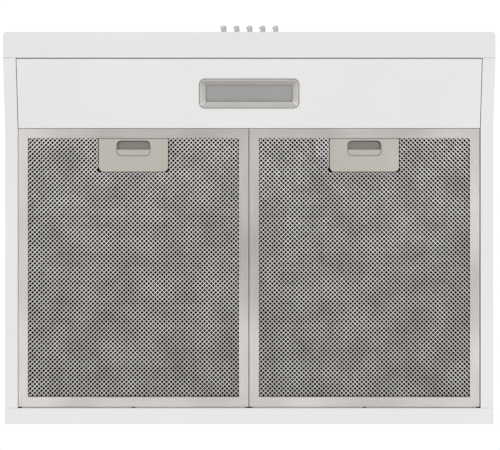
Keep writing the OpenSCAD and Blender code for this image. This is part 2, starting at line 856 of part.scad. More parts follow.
// Sliding latch: a plate with a finger well, a bolt at its front and a stop for the spring
module latch_slider(side) {
    z0 = foil + 1.5 + 0.35;
    z1 = z0 + 1.2;
    top = filter_h - foil - 0.35;
    well_y0 = pull_y - 1;
    well_y1 = pull_y + 10.9;
    color("silver") at_filter(side) difference() {
        union() {
            box(-30, 30, slider_y0, slider_y1, z0, z1);
            box(-21, 21, well_y0 - 1, well_y1 + 1, z0, top);
            box(-bolt_w / 2, bolt_w / 2, 2.6, slider_y0 + 1, bolt_z, bolt_z + bolt_t);
            bolt_nose();
            box(-8, 8, slider_y1 - 1.2, slider_y1, z0, top);
            box(-bolt_w / 2, bolt_w / 2, slider_y0, slider_y0 + 1.2, z0, bolt_z + bolt_t);
        }
        box(-20, 20, well_y0, well_y1, z0 - 1, top - 0.8);
    }
}

// Front of the bolt, bevelled underneath so that a closing filter pushes it back
module bolt_nose() {
    z = [bolt_z, bolt_z + bolt_t];
    along_x(-bolt_w / 2, bolt_w / 2)
        polygon([[bolt_y0 + 1, z[0]], [3, z[0]], [3, z[1]], [bolt_y0, z[1]], [bolt_y0, z[0] + 1]]);
}

// Compression spring behind the slider
module latch_spring(side) {
    turns = 4;
    per_turn = 10;
    y0 = slider_y1 + 0.3;
    y1 = border_w + latch_l - 1.2 - 0.3;
    r = 1.9;
    wire = 0.28;
    middle_z = (foil + 1.5 + filter_h - foil) / 2;
    points = [
        for (i = [0:turns * per_turn]) let (a = 360 * i / per_turn, s = i / (turns * per_turn))
            [r * cos(a), y0 + (y1 - y0) * s, middle_z + r * sin(a)]
    ];
    color("gray") at_filter(side) tube(points, wire, 5);
}

// ---------- nodes ----------

canopy();
side_panel(-1);  // side_panel_left
side_panel(1);  // side_panel_right
back_panel();
front_fascia();
light_panel();
filter_divider();
duct_collar();
collar_screws();
damper_rod();
damper_flap(180, outer_knuckles, inner_knuckles);  // damper_flap_front
damper_flap(0, inner_knuckles, outer_knuckles);  // damper_flap_rear
scroll_upper();
scroll_lower();
scroll_screws();
scroll_clips();
inlet_guard();
impeller();
impeller_nut();
motor_shaft();
motor_rotor();
motor_case_upper();
motor_case_lower();
motor_stator();
motor_windings();
motor_bearings();
motor_mounts();
motor_screws();
wiring_box();
wiring_box_cover();
terminal_block();
capacitor();
cable_grommet();
lead(motor_lead_route, 2, "black");  // motor_lead
lead(switch_lead_route, 1.7, "dimgray");  // switch_lead
lead(lamp_lead_route, 1.5, "white");  // lamp_lead
lamp_bezel();
lamp_lens();
lamp_tray();
led_board();
led_chips();
switch_body();
switch_bracket();
button(0);  // button_off
button(1);  // button_low
button(2);  // button_medium
button(3);  // button_high
button(4);  // button_light
filter_frame(-1);  // filter_frame_left
filter_mesh(-1);  // filter_mesh_left
filter_hooks(-1);  // filter_hooks_left
latch_housing(-1);  // latch_housing_left
latch_slider(-1);  // latch_slider_left
latch_spring(-1);  // latch_spring_left
filter_frame(1);  // filter_frame_right
filter_mesh(1);  // filter_mesh_right
filter_hooks(1);  // filter_hooks_right
latch_housing(1);  // latch_housing_right
latch_slider(1);  // latch_slider_right
latch_spring(1);  // latch_spring_right
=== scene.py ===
import json
import math

import bmesh
import bpy
import numpy as np
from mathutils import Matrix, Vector

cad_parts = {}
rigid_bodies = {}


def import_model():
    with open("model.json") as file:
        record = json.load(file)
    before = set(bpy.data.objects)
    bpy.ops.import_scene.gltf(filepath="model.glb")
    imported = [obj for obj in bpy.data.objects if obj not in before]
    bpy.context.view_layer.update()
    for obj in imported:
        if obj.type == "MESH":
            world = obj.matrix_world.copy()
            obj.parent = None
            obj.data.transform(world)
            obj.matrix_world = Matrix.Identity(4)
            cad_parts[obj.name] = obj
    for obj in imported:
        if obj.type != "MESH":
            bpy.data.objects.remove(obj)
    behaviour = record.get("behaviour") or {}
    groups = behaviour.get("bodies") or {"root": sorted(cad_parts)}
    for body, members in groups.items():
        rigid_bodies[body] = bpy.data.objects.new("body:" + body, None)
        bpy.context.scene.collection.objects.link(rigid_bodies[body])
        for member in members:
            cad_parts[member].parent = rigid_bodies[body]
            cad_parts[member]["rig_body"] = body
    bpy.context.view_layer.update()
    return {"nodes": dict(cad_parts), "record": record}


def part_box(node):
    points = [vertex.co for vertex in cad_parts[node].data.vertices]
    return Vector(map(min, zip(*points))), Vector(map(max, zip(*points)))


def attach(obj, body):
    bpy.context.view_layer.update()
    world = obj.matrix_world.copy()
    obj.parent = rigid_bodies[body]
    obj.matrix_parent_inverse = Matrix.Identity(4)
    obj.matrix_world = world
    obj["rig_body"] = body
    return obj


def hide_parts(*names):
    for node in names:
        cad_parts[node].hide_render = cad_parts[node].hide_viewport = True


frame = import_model()


# ---------- sheet metal body ----------
# Seven pressings of 1 mm steel: canopy, sides, back, front fascia, sloped lamp panel, and a divider over the
# joint of the filters, painted dark along the joint as painted shade of the gap. They are folded on a brake
# and coated with white polyester powder, which melts to a skin with a faint orange peel.

MM = 0.001
nodes = frame["nodes"]
slot_of = {part["node"]: part["material_slot"] for part in frame["record"]["subparts"]}


def blank_finish(name, metal, rough):
    """A finish to build on.

    Returns its material, node tree, shader and the object coordinates that its patterns start from.
    """
    finish = bpy.data.materials.new(name)
    finish.use_nodes = True
    tree = finish.node_tree
    shader = tree.nodes["Principled BSDF"]
    shader.inputs["Metallic"].default_value = metal
    shader.inputs["Roughness"].default_value = rough
    return finish, tree, shader, tree.nodes.new("ShaderNodeTexCoord").outputs["Object"]


def grain(tree, place, size, stretch=(1, 1, 1), detail=2.0):
    """Noise from 0 to 1 with features about size metres across, drawn out by stretch along x, y and z."""
    mapping = tree.nodes.new("ShaderNodeMapping")
    mapping.inputs["Scale"].default_value = [1 / (size * s) for s in stretch]
    tree.links.new(place, mapping.inputs["Vector"])
    noise = tree.nodes.new("ShaderNodeTexNoise")
    noise.inputs["Scale"].default_value = 1.0
    noise.inputs["Detail"].default_value = detail
    tree.links.new(mapping.outputs["Vector"], noise.inputs["Vector"])
    return noise.outputs["Fac"]


def spread(tree, value, low, high, at=(0.3, 0.7)):
    """Maps a value between the two marks of at to low and high, and holds it there outside them."""
    ramp = tree.nodes.new("ShaderNodeMapRange")
    ramp.inputs["From Min"].default_value, ramp.inputs["From Max"].default_value = at
    ramp.inputs["To Min"].default_value, ramp.inputs["To Max"].default_value = low, high
    tree.links.new(value, ramp.inputs["Value"])
    return ramp.outputs["Result"]


def tint(tree, shader, value, dark, light):
    """Colours the shader between dark and light as value goes from 0 to 1."""
    mix = tree.nodes.new("ShaderNodeMix")
    mix.data_type = "RGBA"
    mix.inputs["A"].default_value = (*dark, 1)
    mix.inputs["B"].default_value = (*light, 1)
    tree.links.new(value, mix.inputs["Factor"])
    tree.links.new(mix.outputs["Result"], shader.inputs["Base Color"])


def relief(tree, shader, height, depth):
    """Raises the surface by depth metres where height is 1."""
    bump = tree.nodes.new("ShaderNodeBump")
    bump.inputs["Distance"].default_value = depth
    bump.inputs["Strength"].default_value = 1.0
    tree.links.new(height, bump.inputs["Height"])
    tree.links.new(bump.outputs["Normal"], shader.inputs["Normal"])


def coated(name, dark, light, metal, rough, size, depth, stretch=(1, 1, 1), patch=50):
    """A plain finish: patches of two close colours, and a grain that shows in the relief and in the gloss.

    The sizes of grain and patch and the depth of the relief are in mm.
    """
    finish, tree, shader, place = blank_finish(name, metal, rough[0])
    tint(tree, shader, spread(tree, grain(tree, place, patch * MM, detail=4), 0, 1), dark, light)
    fine = grain(tree, place, size * MM, stretch)
    tree.links.new(spread(tree, fine, rough[0], rough[1]), shader.inputs["Roughness"])
    relief(tree, shader, fine, depth * MM)
    return finish


def paint(finish, *names):
    """Gives CAD nodes a finish in the slots they have."""
    for name in names:
        for slot in nodes[name].material_slots:
            slot.material = finish


def eased(node, width, finish, shade_finish=None, is_shaded=None):
    """A copy of a CAD node with doubled points merged, flat faces joined and sharp edges rounded by width mm.

    Faces for which the test, on their middles and normals, is true get the second finish, a painted shade.
    """
    same_point, flat, sharp = 0.002 * MM, math.radians(0.5), math.radians(30)
    shape = bmesh.new()
    shape.from_mesh(nodes[node].data)
    bmesh.ops.remove_doubles(shape, verts=shape.verts, dist=same_point)
    bmesh.ops.dissolve_limit(shape, angle_limit=flat, verts=shape.verts, edges=shape.edges)
    mesh = bpy.data.meshes.new(node + "_eased")
    shape.to_mesh(mesh)
    shape.free()
    mesh.materials.clear()
    mesh.materials.append(finish)
    count = len(mesh.polygons)
    index = np.zeros(count, np.int32)
    if shade_finish:
        mesh.materials.append(shade_finish)
        middles, normals = np.zeros(3 * count, np.float32), np.zeros(3 * count, np.float32)
        mesh.polygons.foreach_get("center", middles)
        mesh.polygons.foreach_get("normal", normals)
        index = is_shaded(middles.reshape(-1, 3), normals.reshape(-1, 3)).astype(np.int32)
    mesh.polygons.foreach_set("material_index", index)
    mesh.polygons.foreach_set("use_smooth", np.ones(count, bool))
    piece = bpy.data.objects.new(node + "_eased", mesh)
    bpy.context.scene.collection.objects.link(piece)
    round_over = piece.modifiers.new("round_over", "BEVEL")
    round_over.width = width * MM
    round_over.segments = 2
    round_over.limit_method = "ANGLE"
    round_over.angle_limit = sharp
    round_over.use_clamp_overlap = True
    level = piece.modifiers.new("level", "WEIGHTED_NORMAL")
    level.keep_sharp = True
    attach(piece, nodes[node]["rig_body"])
    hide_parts(node)


white_powder = (0.765, 0.765, 0.764), (0.795, 0.795, 0.795), 0, (0.38, 0.46), 1.1, 0.012
powder = coated("powder_coat", *white_powder, patch=160)
# The near-black finish below is painted shade for the inside of the slot between the fascia's lip and the
# lamp panel.
slot_shade = coated("slot_shade", (0.055, 0.055, 0.055), (0.085, 0.085, 0.085), 0, (0.6, 0.75), 1.1, 0.03)
for node in ("canopy", "side_panel_left", "side_panel_right", "back_panel"):
    eased(node, 0.4, powder)


def in_the_slot(middles, normals):
    """True on the upright faces of the narrow slot between the fascia's lip and the lamp panel.

    Those faces get a near-black finish, painted shade for the dark inside of the slot.
    """
    slot_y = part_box("light_panel")[0].y - 0.5 * MM
    return (abs(normals[:, 1]) > 0.9) & (abs(middles[:, 1] - slot_y) < 0.7 * MM)


# The upright faces in the slot get the near-black painted shade.
for node in ("front_fascia", "light_panel"):
    eased(node, 0.3, powder, shade_finish=slot_shade, is_shaded=in_the_slot)


def maths(tree, operation, *values):
    """The result of a Math node. Each value is a number or another node's result."""
    step = tree.nodes.new("ShaderNodeMath")
    step.operation = operation
    for socket, value in zip(step.inputs, values):
        if isinstance(value, bpy.types.NodeSocket):
            tree.links.new(value, socket)
        else:
            socket.default_value = value
    return step.outputs[0]


def part_along(tree, place, axis):
    """The X, Y or Z of a place."""
    parts = tree.nodes.new("ShaderNodeSeparateXYZ")
    tree.links.new(place, parts.inputs["Vector"])
    return parts.outputs[axis]


def shaded_line(finish, axis, line, reach, colour):
    """Painted shade along a line across an axis: solid up to 0.4 of reach from it, then thinner, none past
    reach.
    """
    tree = finish.node_tree
    shader = tree.nodes["Principled BSDF"]
    place = tree.nodes["Texture Coordinate"].outputs["Object"]
    away = maths(tree, "ABSOLUTE", maths(tree, "SUBTRACT", part_along(tree, place, axis), line))
    line_shade = tree.nodes.new("ShaderNodeMix")
    line_shade.data_type = "RGBA"
    line_shade.inputs["A"].default_value = (*colour, 1)
    tree.links.new(shader.inputs["Base Color"].links[0].from_socket, line_shade.inputs["B"])
    tree.links.new(spread(tree, away, 0, 1, (0.4 * reach, reach)), line_shade.inputs["Factor"])
    tree.links.new(line_shade.outputs["Result"], shader.inputs["Base Color"])


# This finish darkens the divider along the joint of the filters: painted shade for the gap between them.
joint_shade_powder = coated("joint_shade_powder", *white_powder)
joint_x = (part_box("filter_frame_left")[1].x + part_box("filter_frame_right")[0].x) / 2
shaded_line(joint_shade_powder, "X", joint_x, 2.2 * MM, (0.06, 0.055, 0.05))
eased("filter_divider", 0.4, joint_shade_powder)


# ---------- grease filter frames ----------
# Each filter's border is a U channel rolled from 0.8 mm aluminium strip and wrapped round the foil. The strip
# is brushed along its length, so the lines turn at the corners. Two tongues on its rear edge lie on the rear
# rail.

def brushed(name, dark, light, rough, depth, ends=None):
    """Brushed metal: fine lines along y in a relief depth mm deep, with slow changes of tone.

    Where ends gives two marks on y, the lines run along x in front of the first and behind the second.
    """
    finish, tree, shader, place = blank_finish(name, 1.0, rough[0])
    line, length, detail = 0.35 * MM, 120, 3
    lines = grain(tree, place, line, (1, length, 1), detail)
    if ends:
        away = maths(tree, "SUBTRACT", part_along(tree, place, "Y"), (ends[0] + ends[1]) / 2)
        at_end = maths(tree, "GREATER_THAN", maths(tree, "ABSOLUTE", away), (ends[1] - ends[0]) / 2)
        pick = tree.nodes.new("ShaderNodeMix")
        pick.data_type = "FLOAT"
        tree.links.new(at_end, pick.inputs["Factor"])
        tree.links.new(lines, pick.inputs["A"])
        tree.links.new(grain(tree, place, line, (length, 1, 1), detail), pick.inputs["B"])
        lines = pick.outputs["Result"]
    slow = maths(tree, "MULTIPLY", grain(tree, place, 110 * MM, detail=1), 0.7)
    tint(tree, shader, spread(tree, maths(tree, "MULTIPLY_ADD", lines, 0.3, slow), 0, 1), dark, light)
    tree.links.new(spread(tree, lines, rough[0], rough[1]), shader.inputs["Roughness"])
    relief(tree, shader, lines, depth * MM)
    return finish


front_edge, back_edge = (corner.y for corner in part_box("filter_frame_left"))
border = 12 * MM
strip = brushed("brushed_strip", (0.40, 0.382, 0.37), (0.61, 0.588, 0.57), (0.30, 0.42), 0.004,
                (front_edge + border, back_edge - border))
for side in ("left", "right"):
    eased("filter_frame_" + side, 0.25, strip)
    eased("filter_hooks_" + side, 0.2, strip)


# ---------- expanded aluminium foil ----------
# A filter's filling is foil that was slit in rows and pulled sideways until the slits opened to diamonds.
# Pulling tilts each strand and leaves a small saddle at each bond. Layers lie on each other, turned and
# shifted. A near-black pad in the middle stands for the deeper layers: painted shade.

bond_pitch = 5.5 * MM
tray_half, tray_end = 42.5 * MM, 53 * MM


def strung(points, faces, name, finish, slot, body, smooth=False):
    """Makes a piece of arrays of points and four-sided faces, turned outwards if its volume is negative."""
    a, b, c, d = (points[faces[:, k]] for k in range(4))
    volume = (np.cross(a, b) * c).sum() + (np.cross(a, c) * d).sum()
    if volume < 0:
        faces = faces[:, ::-1]
    mesh = bpy.data.meshes.new(name)
    mesh.vertices.add(len(points))
    mesh.vertices.foreach_set("co", points.astype(np.float32).ravel())
    mesh.loops.add(faces.size)
    mesh.loops.foreach_set("vertex_index", faces.astype(np.int32).ravel())
    mesh.polygons.add(len(faces))
    mesh.polygons.foreach_set("loop_start", np.arange(0, faces.size, 4, dtype=np.int32))
    mesh.polygons.foreach_set("use_smooth", np.full(len(faces), smooth))
    mesh.update(calc_edges=True)
    mesh.validate()
    mesh.materials.append(finish)
    piece = bpy.data.objects.new(name, mesh)
    bpy.context.scene.collection.objects.link(piece)
    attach(piece, body)
    return piece


def wall(start, end, under):
    """Faces down from edges, given by the numbers of their ends, to the under side, numbered under higher."""
    return np.stack([start + under, end + under, end, start], -1)


def foil_layer(name, side, height, shift, seed):
    """Expanded foil on a diamond lattice, cut to the space inside the border and round the latch tray.

    Bond (i, j), with i + j even, stands at half pitches i and j. Its corners are bond to the right, back,
    left and front of it, the back one raised and the front one lowered by saddle. A strand joins the corners
    that face each other on neighbouring bonds. The under side is the same surface lowered by gauge, and walls
    close every edge that no strand meets. Bonds that would lie just under the tray are moved to its edge, and
    those further in are left out. Heights wander by a slow wave, and places, heights and saddles by a small
    seeded scatter.
    """
    bond, saddle, gauge = 0.68 * MM, 0.42 * MM, 0.16 * MM
    tuck, clearance = 3.2 * MM, 0.15 * MM
    low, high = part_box("filter_frame_" + side)
    middle = (low.x + high.x) / 2
    reach = (high.x - low.x) / 2 - border + tuck
    first_y, last_y = low.y + border - tuck, high.y - border + tuck
    tray_x, tray_y = tray_half + clearance + bond, low.y + tray_end + clearance + bond
    half = bond_pitch / 2
    columns, rows = int(2 * reach / half) + 2, int((last_y - first_y) / half) + 2
    i, j = np.meshgrid(np.arange(columns), np.arange(rows), indexing="ij")
    x = middle - reach + i * half + shift[0]
    y = first_y + j * half + shift[1]
    beside, before = tray_x - abs(x - middle), tray_y - y
    under_tray = (beside > 0) & (before > 0)
    x = np.where(under_tray & (beside <= before), middle + np.sign(x - middle) * tray_x, x)
    y = np.where(under_tray & (beside > before), tray_y, y)
    by_the_edge = (np.minimum(beside, before) < 0.9 * half) & (np.maximum(beside, before) > 4 * MM)
    keep = (i + j) % 2 == 0
    keep &= (abs(x - middle) < reach - bond) & (y > first_y + bond) & (y < last_y - bond)
    keep &= ~under_tray | by_the_edge
    number = np.where(keep, np.cumsum(keep).reshape(keep.shape) - 1, -1)

    x, y = x[keep], y[keep]
    count = len(x)
    scatter = np.random.default_rng(seed)
    wave = 0.12 * MM * np.sin(x / (21 * MM) + seed) * np.cos(y / (17 * MM) + 2 * seed)
    x = x + scatter.normal(0, 0.03 * MM, count)
    y = y + scatter.normal(0, 0.03 * MM, count)
    z = low.z + height + wave + scatter.normal(0, 0.025 * MM, count)
    tilt = saddle * scatter.normal(1, 0.06, count)
    right, back, left, front = range(4)
    corners = np.stack([np.stack([x + bond, y, z], -1), np.stack([x, y + bond, z + tilt], -1),
                        np.stack([x - bond, y, z], -1), np.stack([x, y - bond, z - tilt], -1)], 1)
    points = np.concatenate([corners.reshape(-1, 3), corners.reshape(-1, 3) - [0, 0, gauge]])
    under = 4 * count
    here = 4 * np.arange(count)
    faces = [np.stack([here + right, here + back, here + left, here + front], -1)]
    faces.append(faces[0][:, ::-1] + under)
    neighbour = np.pad(number, 1, constant_values=-1)
    i, j = i[keep] + 1, j[keep] + 1
    for (di, dj), mine, theirs in (((1, 1), (right, back), (left, front)),
                                   ((1, -1), (front, right), (back, left))):
        ahead = neighbour[i + di, j + dj]
        met = ahead >= 0
        met_behind = neighbour[i - di, j - dj] >= 0
        p, q = here[met], 4 * ahead[met]
        a, b, c, d = p + mine[0], q + theirs[1], q + theirs[0], p + mine[1]
        faces += [np.stack([a, b, c, d], -1), np.stack([d, c, b, a], -1) + under,
                  wall(a, b, under), wall(c, d, under),
                  wall(here + mine[0], here + mine[1], under)[~met],
                  wall(here + theirs[0], here + theirs[1], under)[~met_behind]]
    return strung(points, np.concatenate(faces), name, foil_finish, slot_of["filter_mesh_" + side],
                  "filter_" + side)


foil_finish = coated("foil", (0.63, 0.61, 0.59), (0.89, 0.87, 0.85), 1.0, (0.22, 0.40), 0.6, 0.01, patch=35)
# The pad's near-black colour is painted shade for the deep layers of foil.
core_shade_finish = coated("foil_inside_shade", (0.003, 0.003, 0.0028), (0.010, 0.0095, 0.009), 0, (0.6, 0.8), 1.2, 0.3,
                     patch=4)
core_shade_finish.node_tree.nodes["Principled BSDF"].inputs["Specular IOR Level"].default_value = 0.05


def foil_core(side):
    """The crumpled middle layers: a closed pad round the latch tray, on a grid, coloured near black as
    painted shade.

    Its height is the product of two waves that run at 45 degrees to the sides. Cells under the tray are left
    out, the under side is the same surface lowered by the pad's thickness, and walls close its edges.
    """
    height, swell, thick = 4.6 * MM, 0.35 * MM, 0.5 * MM
    tuck, clearance = 3 * MM, 0.4 * MM
    wave_a, wave_b = bond_pitch * 2.3, bond_pitch * 2.1
    low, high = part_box("filter_frame_" + side)
    middle = (low.x + high.x) / 2
    reach = (high.x - low.x) / 2 - border + tuck
    first_y, last_y = low.y + border - tuck, high.y - border + tuck
    tray_x, tray_y = tray_half + clearance, low.y + tray_end + clearance
    beside = np.linspace(tray_x, reach, 48)
    u = np.concatenate([-beside[::-1], np.linspace(-tray_x, tray_x, 46)[1:-1], beside])
    v = np.concatenate([np.linspace(first_y, tray_y, 23)[:-1], np.linspace(tray_y, last_y, 130)])
    x, y = np.meshgrid(u, v, indexing="ij")
    ripple = np.sin((x + y) * 2 * np.pi / wave_a) * np.sin((x - y) * 2 * np.pi / wave_b)
    top = np.stack([x + middle, y, low.z + height + swell * ripple], -1).reshape(-1, 3)
    points = np.concatenate([top, top - [0, 0, thick]])
    keep = (abs(u[:-1] + u[1:]) / 2 > tray_x)[:, None] | ((v[:-1] + v[1:]) / 2 > tray_y)[None, :]
    grid = np.arange(x.size).reshape(x.shape)
    corner = [grid[:-1, :-1], grid[1:, :-1], grid[1:, 1:], grid[:-1, 1:]]
    over = np.stack(corner, -1)[keep]
    faces = [over, over[:, ::-1] + x.size]
    ringed = np.pad(keep, 1)
    nu, nv = keep.shape
    for k, (di, dj) in enumerate(((0, -1), (1, 0), (0, 1), (-1, 0))):
        open_edge = keep & ~ringed[1 + di:1 + di + nu, 1 + dj:1 + dj + nv]
        faces.append(wall(corner[k][open_edge], corner[(k + 1) % 4][open_edge], x.size))
    used, faces = np.unique(np.concatenate(faces), return_inverse=True)
    return strung(points[used], faces.reshape(-1, 4), "foil_core_" + side, core_shade_finish,
                  slot_of["filter_mesh_" + side], "filter_" + side, True)


for side in ("left", "right"):
    lowest = foil_layer("foil_under_" + side, side, height=1.6 * MM, shift=(0.4 * MM, 0.3 * MM), seed=3)
    foil_layer("foil_upper_" + side, side, height=7.5 * MM, shift=(1.4 * MM, 2.1 * MM), seed=11)
    foil_core(side)
    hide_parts("filter_mesh_" + side)


# ---------- latches ----------
# A pressed plate with a finger opening covers a small tray. The slider behind it has a finger well and a
# grip, and a wire spring pushes its bolt out over the flange of the lamp panel.

satin = brushed("satin_plate", (0.465, 0.445, 0.405), (0.535, 0.515, 0.475), (0.32, 0.42), 0.002)
# A dark line along the joint where the plate meets the filter's border: painted shade.
shaded_line(satin, "Y", front_edge + border - 0.2 * MM, 1.3 * MM, (0.12, 0.115, 0.10))


def moulded_grip(side):
    """Silver on the grip, with painted shade: darker higher up in the well, and darker in a band along the
    opening.

    The band of painted shade follows the distance to the opening's outline, a rectangle with round corners:
    it sets in at the radius of the corners and is full 1.3 mm further out.
    """
    half_w, half_d, corner_r, any_height = 14.8 * MM, 3.3 * MM, 4.7 * MM, 9
    opening_y, shade_w = 24.2 * MM, 1.3 * MM
    lip, well = 1.3 * MM, 3.5 * MM
    finish, tree, shader, place = blank_finish("grip_silver_" + side, 0.6, 0.4)
    low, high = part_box("latch_housing_" + side)
    opening = ((low.x + high.x) / 2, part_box("filter_frame_" + side)[0].y + opening_y, 0)
    distance = place
    for operation, other in (("SUBTRACT", opening), ("ABSOLUTE", None),
                             ("SUBTRACT", (half_w, half_d, any_height)), ("MAXIMUM", (0, 0, 0)),
                             ("LENGTH", None)):
        step = tree.nodes.new("ShaderNodeVectorMath")
        step.operation = operation
        tree.links.new(distance, step.inputs[0])
        if other:
            step.inputs[1].default_value = other
        distance = step.outputs["Value" if operation == "LENGTH" else "Vector"]
    # Painted shade in a band along the opening's outline.
    inside = spread(tree, distance, 1, 0, (corner_r, corner_r + shade_w))
    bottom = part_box("latch_slider_" + side)[0].z
    # Painted shade: darker higher up in the well.
    well_shade = spread(tree, part_along(tree, place, "Z"), 1, 0.42, (bottom + lip, bottom + well))
    unshaded = maths(tree, "MULTIPLY", spread(tree, inside, 0.45, 1, (0, 1)), well_shade)
    tint(tree, shader, unshaded, (0.06, 0.057, 0.05), (0.47, 0.455, 0.42))
    fine = grain(tree, place, 0.7 * MM)
    tree.links.new(spread(tree, fine, 0.36, 0.46), shader.inputs["Roughness"])
    relief(tree, shader, fine, 0.01 * MM)
    return finish


spring_steel = coated("spring_steel", (0.35, 0.34, 0.33), (0.5, 0.49, 0.47), 1.0, (0.2, 0.32), 0.4, 0.004)
for side in ("left", "right"):
    eased("latch_housing_" + side, 0.3, satin)
    eased("latch_slider_" + side, 0.25, moulded_grip(side))
paint(spring_steel, "latch_spring_left", "latch_spring_right")


# ---------- lamp ----------
# A satin zinc bezel is pressed through the sloped panel from below. It holds a frosted cover; the tray behind
# it carries a board with nine LEDs.

panel_low, panel_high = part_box("light_panel")
panel_rise = 18 * MM
panel_slope = math.atan2(panel_rise, panel_high.y - panel_low.y)


def on_the_slope(points):
    """Turns points given square to the sloped panel, in mm from its middle, into their place in metres."""
    x, y, z = (points[..., k] * MM for k in range(3))
    c, s = math.cos(panel_slope), math.sin(panel_slope)
    return np.stack([x, (panel_low.y + panel_high.y) / 2 + y * c - z * s,
                     panel_low.z + panel_rise / 2 + y * s + z * c], -1)


def looped(name, rings, finish, slot, body, shape, edge, edge_rings):
    """A closed ring of metal: a profile carried round a rectangle with round corners.

    Each row of rings is one point of the profile, as half width, half depth, corner radius and height. The
    outline of a row is four quarter circles of its radius, joined by straight runs, with the same number of
    points in each. The function shape turns them into their place. The rows numbered in edge_rings get the
    finish edge.
    """
    steps = 7
    turn = np.linspace(0, np.pi / 2, steps)
    rings = np.array(rings, float)
    half_w, half_d, radius, height = (rings[:, k][:, None] for k in range(4))
    quarters = []
    for k, (sx, sy) in enumerate(((1, 1), (-1, 1), (-1, -1), (1, -1))):
        a = turn[None, :] + k * np.pi / 2
        quarters.append(np.stack([sx * (half_w - radius) + radius * np.cos(a),
                                  sy * (half_d - radius) + radius * np.sin(a), height + 0 * a], -1))
    points = shape(np.concatenate(quarters, 1))
    rows, around = points.shape[:2]
    grid = np.arange(rows * around).reshape(rows, around)
    nxt, beside = np.roll(grid, -1, 0), np.roll(grid, -1, 1)
    faces = np.stack([grid, beside, np.roll(nxt, -1, 1), nxt], -1)
    piece = strung(points.reshape(-1, 3), faces.reshape(-1, 4), name, finish, slot, body, True)
    piece.data.materials.append(edge)
    index = np.zeros((rows, around), np.int32)
    index[list(edge_rings)] = 1
    piece.data.polygons.foreach_set("material_index", index.ravel())
    return piece


bezel_w, bezel_d, lens_w, lens_d = 61.25, 18.25, 53, 10
bezel_satin = brushed("bezel_satin", (0.42, 0.40, 0.39), (0.50, 0.48, 0.47), (0.30, 0.40), 0.002)
# The outer wall of the bezel, rows 2 to 4 of its profile, gets a dark finish: painted shade for the thin dark
# outline round it.
bezel_rim_shade = coated("bezel_rim_shade", (0.10, 0.10, 0.10), (0.14, 0.135, 0.135), 0.5, (0.4, 0.5), 0.7, 0.01)
bezel = looped("bezel", [
    (bezel_w - 3.9, bezel_d - 3.9, 4.0, -0.06), (bezel_w - 0.1, bezel_d - 0.1, 6.9, -0.06),
    (bezel_w, bezel_d, 7.0, -0.16), (bezel_w, bezel_d, 7.0, -0.55),
    (bezel_w - 0.45, bezel_d - 0.45, 6.6, -0.85), (bezel_w - 0.7, bezel_d - 0.7, 6.4, -1.12),
    (bezel_w - 0.95, bezel_d - 0.95, 6.2, -1.2), (bezel_w - 1.2, bezel_d - 1.2, 5.9, -1.15),
    (bezel_w - 3.1, bezel_d - 3.1, 3.9, -0.6),
    (lens_w + 0.5, lens_d + 0.5, 0.9, 1.5), (lens_w + 0.1, lens_d + 0.1, 0.6, 1.65),
    (lens_w, lens_d, 0.5, 1.8), (lens_w, lens_d, 0.5, 3.4), (lens_w + 0.1, lens_d + 0.1, 0.6, 3.45),
    (bezel_w - 4.4, bezel_d - 4.4, 4.0, 3.45), (bezel_w - 4.3, bezel_d - 4.3, 4.0, 3.35)],
    bezel_satin, slot_of["lamp_bezel"], "hood", on_the_slope, bezel_rim_shade, (2, 3, 4))
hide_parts("lamp_bezel")
frosted = coated("frosted_cover", (0.31, 0.31, 0.305), (0.34, 0.34, 0.335), 0, (0.5, 0.62), 0.5, 0.03)
eased("lamp_lens", 0.3, frosted)
lamp_white = coated("lamp_white", (0.72, 0.72, 0.71), (0.78, 0.78, 0.77), 0, (0.4, 0.5), 0.9, 0.01)
board_green = coated("board_green", (0.02, 0.16, 0.06), (0.03, 0.21, 0.08), 0, (0.3, 0.4), 0.6, 0.01)
led_yellow = coated("led_yellow", (0.75, 0.6, 0.18), (0.85, 0.7, 0.25), 0, (0.25, 0.35), 0.3, 0.005)
eased("lamp_tray", 0.4, lamp_white)
eased("led_board", 0.15, board_green)
eased("led_chips", 0.2, led_yellow)


# ---------- push buttons ----------
# Five moulded caps with a metallised skin stand out of the fascia: off, three speeds and the lamp. Each cap's
# stem runs back into the switch block.

def turned(name, profile, start, finish, slot, body):
    """A turned piece: rows of radius and distance behind start, in mm, spun round a line along y.

    A pole closes it at each end.
    """
    steps = 48
    profile = np.array(profile, float) * MM
    a = np.arange(steps) * 2 * np.pi / steps
    radius, along = profile[1:-1, :1], profile[1:-1, 1:]
    ring = np.stack([radius * np.cos(a), along + 0 * a, radius * np.sin(a)], -1)
    poles = np.zeros((2, 3))
    poles[:, 1] = profile[[0, -1], 1]
    points = np.concatenate([ring.reshape(-1, 3), poles]) + np.array(start)
    grid = np.arange(ring.shape[0] * steps).reshape(-1, steps)
    beside = np.roll(grid, -1, 1)
    faces = [np.stack([grid[:-1], beside[:-1], beside[1:], grid[1:]], -1).reshape(-1, 4)]
    even = np.arange(0, steps, 2)
    for row, pole, order in ((grid[0], len(points) - 2, -1), (grid[-1], len(points) - 1, 1)):
        fan = np.stack([np.full(len(even), pole), row[even], row[even + 1], row[(even + 2) % steps]], -1)
        faces.append(fan[:, ::order])
    return strung(points, np.concatenate(faces), name, finish, slot, body, True)


